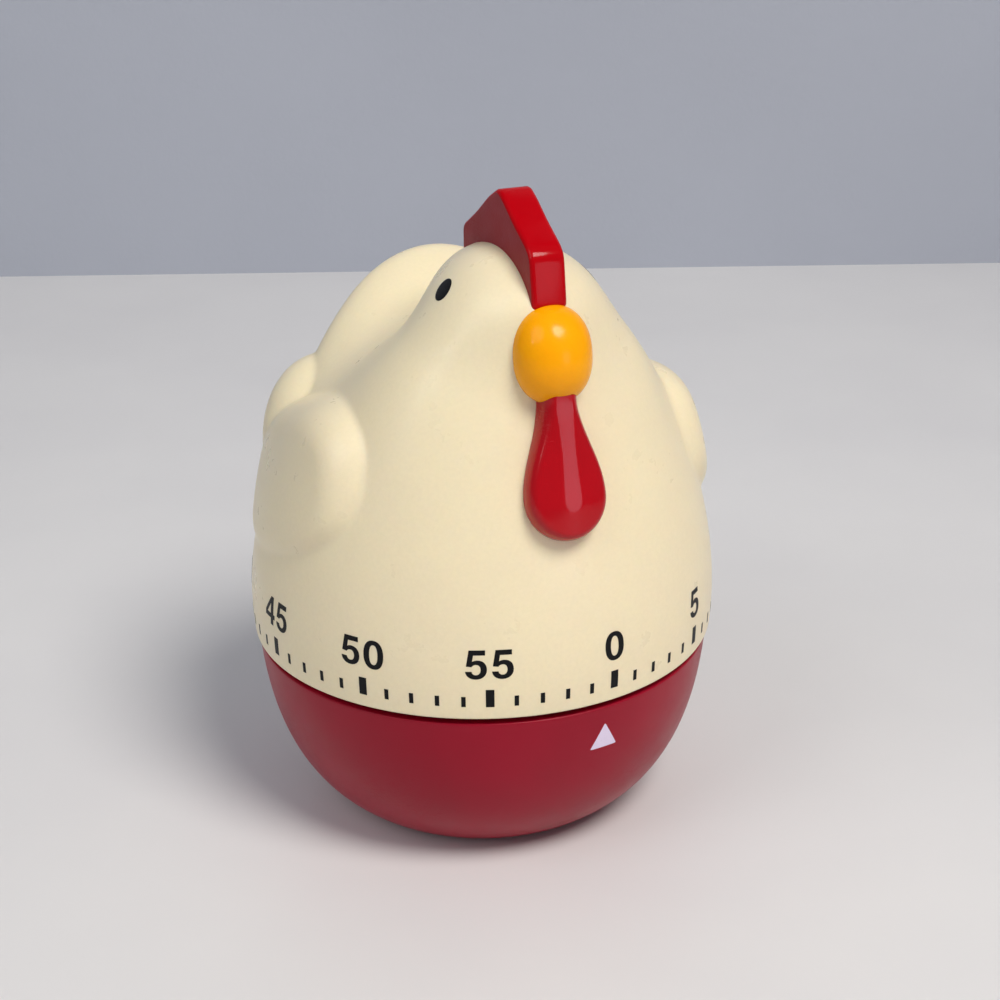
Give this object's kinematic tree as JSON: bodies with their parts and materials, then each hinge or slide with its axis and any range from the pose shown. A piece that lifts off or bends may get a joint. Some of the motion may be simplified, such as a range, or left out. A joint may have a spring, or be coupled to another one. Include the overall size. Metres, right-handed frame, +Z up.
{
  "type": "wind-up kitchen timer",
  "caption": "Hen-shaped wind-up kitchen timer: a hollow hen dial turns on a round bowl base that holds a clockwork train and a bell.",
  "frame": {"origin": "centre of the flat underside, on the axis that the hen turns about", "axes": "+Z up along the hen's turning axis, -Y the way the hen faces at 0, +X the hen's left"},
  "size_m": [0.0602, 0.0602, 0.084],
  "materials": {
    "hen": "glossy cream moulding",
    "comb_red": "glossy red moulding",
    "beak_yellow": "glossy orange-yellow moulding",
    "base_red": "satin crimson with a fine texture",
    "carrier_plastic": "plain moulded",
    "plate_brass": "stamped",
    "wheel_brass": "stamped",
    "bell_steel": "bright plated",
    "steel": "turned or drawn"
  },
  "bodies": {
    "base": {"base_shell": "base_red", "base_screws": "steel", "bottom_plate": "plate_brass", "top_plate": "plate_brass", "pillars": "steel", "plate_screws": "steel", "stop_pin": "steel", "bell_post": "steel", "bell": "bell_steel", "bell_nut": "plate_brass", "hammer_stud": "steel", "hammer_spring": "steel", "mainspring": "steel"},
    "hen": {"hen_shell": "hen", "comb": "comb_red", "beak": "beak_yellow", "wattle": "comb_red", "carrier_disc": "carrier_plastic", "dial_arbor": "steel", "stop_finger": "steel", "clutch_washer": "steel", "strike_cam": "steel"},
    "first_mobile": {"main_wheel": "wheel_brass"},
    "second_mobile": {"second_arbor": "steel", "second_pinion": "steel", "second_wheel": "wheel_brass"},
    "third_mobile": {"third_arbor": "steel", "third_pinion": "steel", "third_wheel": "wheel_brass"},
    "escape_mobile": {"escape_arbor": "steel", "escape_pinion": "steel", "escape_wheel": "wheel_brass"},
    "balance": {"balance_staff": "steel", "pallet_arm": "steel", "pallet_pins": "steel", "balance_wheel": "wheel_brass"},
    "hammer": {"hammer_lever": "steel", "hammer_head": "plate_brass"}
  },
  "joints": [
    {"name": "dial_turn", "type": "hinge", "parent": "base", "child": "hen", "pos_m": [0, 0, 0], "axis": [0, 0, 1], "range_deg": [-348, 0]},
    {"name": "main_wheel_turn", "type": "hinge", "parent": "base", "child": "first_mobile", "pos_m": [0, 0, 0], "axis": [0, 0, 1], "continuous": true},
    {"name": "second_wheel_turn", "type": "hinge", "parent": "base", "child": "second_mobile", "pos_m": [0.0136, 0, 0], "axis": [0, 0, 1], "continuous": true},
    {"name": "third_wheel_turn", "type": "hinge", "parent": "base", "child": "third_mobile", "pos_m": [0.01259, 0.00987, 0], "axis": [0, 0, 1], "continuous": true},
    {"name": "escape_wheel_turn", "type": "hinge", "parent": "base", "child": "escape_mobile", "pos_m": [0.00586, 0.01489, 0], "axis": [0, 0, 1], "continuous": true},
    {"name": "balance_swing", "type": "hinge", "parent": "base", "child": "balance", "pos_m": [-0.00125, 0.01695, 0], "axis": [0, 0, 1], "range_deg": [-4, 4]},
    {"name": "hammer_swing", "type": "hinge", "parent": "base", "child": "hammer", "pos_m": [0.00513, -0.0141, 0], "axis": [0, 0, 1], "range_deg": [-8.3, 0], "deforming": ["hammer_spring"]}
  ],
  "couplings": [
    {"joint": "main_wheel_turn", "follows": "dial_turn", "ratio": 1},
    {"joint": "second_wheel_turn", "follows": "dial_turn", "ratio": -7.5},
    {"joint": "third_wheel_turn", "follows": "dial_turn", "ratio": 50.625},
    {"joint": "escape_wheel_turn", "follows": "dial_turn", "ratio": -303.75},
    {"joint": "hammer_swing", "follows": "dial_turn", "ratio": 0.023851}
  ]
}
